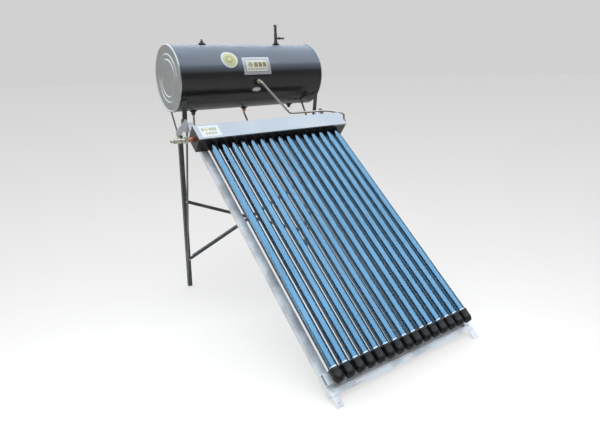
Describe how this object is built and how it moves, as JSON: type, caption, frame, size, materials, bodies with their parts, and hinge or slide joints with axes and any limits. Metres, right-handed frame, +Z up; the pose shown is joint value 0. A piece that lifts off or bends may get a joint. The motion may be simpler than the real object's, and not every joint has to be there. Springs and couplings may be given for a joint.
{
  "type": "solar water heater",
  "caption": "Compact solar water heater: a horizontal storage tank on a steel stand above a sloping row of heat-pipe vacuum tubes, with a manifold, pipework and valves.",
  "frame": {"origin": "centre of the bounding box's base, on the ground", "axes": "+X along the tank to its right seen from the front, -Y towards the low front end of the tubes, +Z up"},
  "size_m": [1.5144, 2.1698, 2.0557],
  "materials": {
    "galvanised_steel": "satin",
    "grey_steel": "satin",
    "zinc_bright": "satin",
    "stainless": "brushed",
    "vessel_steel": "satin",
    "tank_paint": "gloss",
    "black_sheet": "satin",
    "cover_sheet": "gloss",
    "outer_glass": "gloss",
    "coated_glass": "gloss",
    "aluminium_fin": "satin",
    "copper": "satin",
    "rubber_black": "satin",
    "plastic_black": "gloss",
    "wool": "matte",
    "foam": "matte",
    "magnesium": "satin",
    "label_silver": "satin",
    "label_yellow": "satin",
    "label_white": "satin",
    "valve_bronze": "satin",
    "brass": "satin",
    "spring_steel": "satin",
    "pipe_steel": "satin",
    "chrome_ball": "gloss"
  },
  "bodies": {
    "heater": {"side_rail_left": "galvanised_steel", "side_rail_right": "galvanised_steel", "bottom_rail": "galvanised_steel", "front_foot_left": "galvanised_steel", "front_foot_right": "galvanised_steel", "rear_leg_left": "grey_steel", "rear_leg_right": "grey_steel", "rear_strut_left": "grey_steel", "rear_strut_right": "grey_steel", "cross_brace_falling": "grey_steel", "cross_brace_rising": "grey_steel", "top_gusset_left": "galvanised_steel", "top_gusset_right": "galvanised_steel", "tank_bracket_left": "grey_steel", "tank_bracket_right": "grey_steel", "tank_strut_left": "grey_steel", "tank_strut_right": "grey_steel", "frame_bolts": "zinc_bright", "frame_nuts": "zinc_bright", "glass_tubes": "outer_glass", "absorber_tubes": "coated_glass", "absorber_fins": "aluminium_fin", "heat_pipes": "copper", "tube_seals": "rubber_black", "tail_cups": "plastic_black", "manifold_casing": "black_sheet", "manifold_cover": "cover_sheet", "manifold_end_left": "black_sheet", "manifold_end_right": "black_sheet", "manifold_insulation": "wool", "header_pipe": "copper", "manifold_label": "label_yellow", "tank_shell": "tank_paint", "tank_end_left": "stainless", "tank_end_right": "stainless", "pressure_vessel": "vessel_steel", "tank_insulation": "foam", "anode_rod": "magnesium", "port_grommets": "rubber_black", "nameplate": "label_silver", "round_label": "label_yellow", "oval_badge": "label_silver", "relief_valve_body": "valve_bronze", "relief_valve_bonnet": "brass", "relief_valve_spring": "spring_steel", "relief_lever_pin": "zinc_bright", "hot_port_union": "brass", "hot_pipe": "pipe_steel", "header_elbow": "brass", "return_pipe": "pipe_steel", "return_union": "brass", "supply_pipe": "pipe_steel", "supply_union": "copper", "drain_plug": "plastic_black", "drain_valve_body": "brass"},
    "test_lever": {"relief_lever": "zinc_bright"},
    "relief_stem": {"relief_valve_stem": "brass"},
    "drain_handle": {"drain_valve_handle": "zinc_bright", "drain_valve_stem": "brass", "drain_valve_ball": "chrome_ball"}
  },
  "joints": [
    {"name": "test_lever_lift", "type": "hinge", "parent": "heater", "child": "test_lever", "pos_m": [0.36784, 0.843, 2.05], "axis": [0, -1, 0], "range_deg": [0, 30], "stiffness_Nm_per_rad": 0.05, "springref_deg": -11.46},
    {"name": "relief_stem_rise", "type": "slide", "parent": "heater", "child": "relief_stem", "axis": [0, 0, 1], "range_m": [0, 0.0064], "deforming": ["relief_valve_spring"]},
    {"name": "drain_handle_turn", "type": "hinge", "parent": "heater", "child": "drain_handle", "pos_m": [-0.69716, 0.40504, 1.28539], "axis": [0, 0, -1], "range_deg": [0, 90]}
  ],
  "couplings": [
    {"joint": "relief_stem_rise", "follows": "test_lever_lift", "m_per_rad": 0.012}
  ]
}
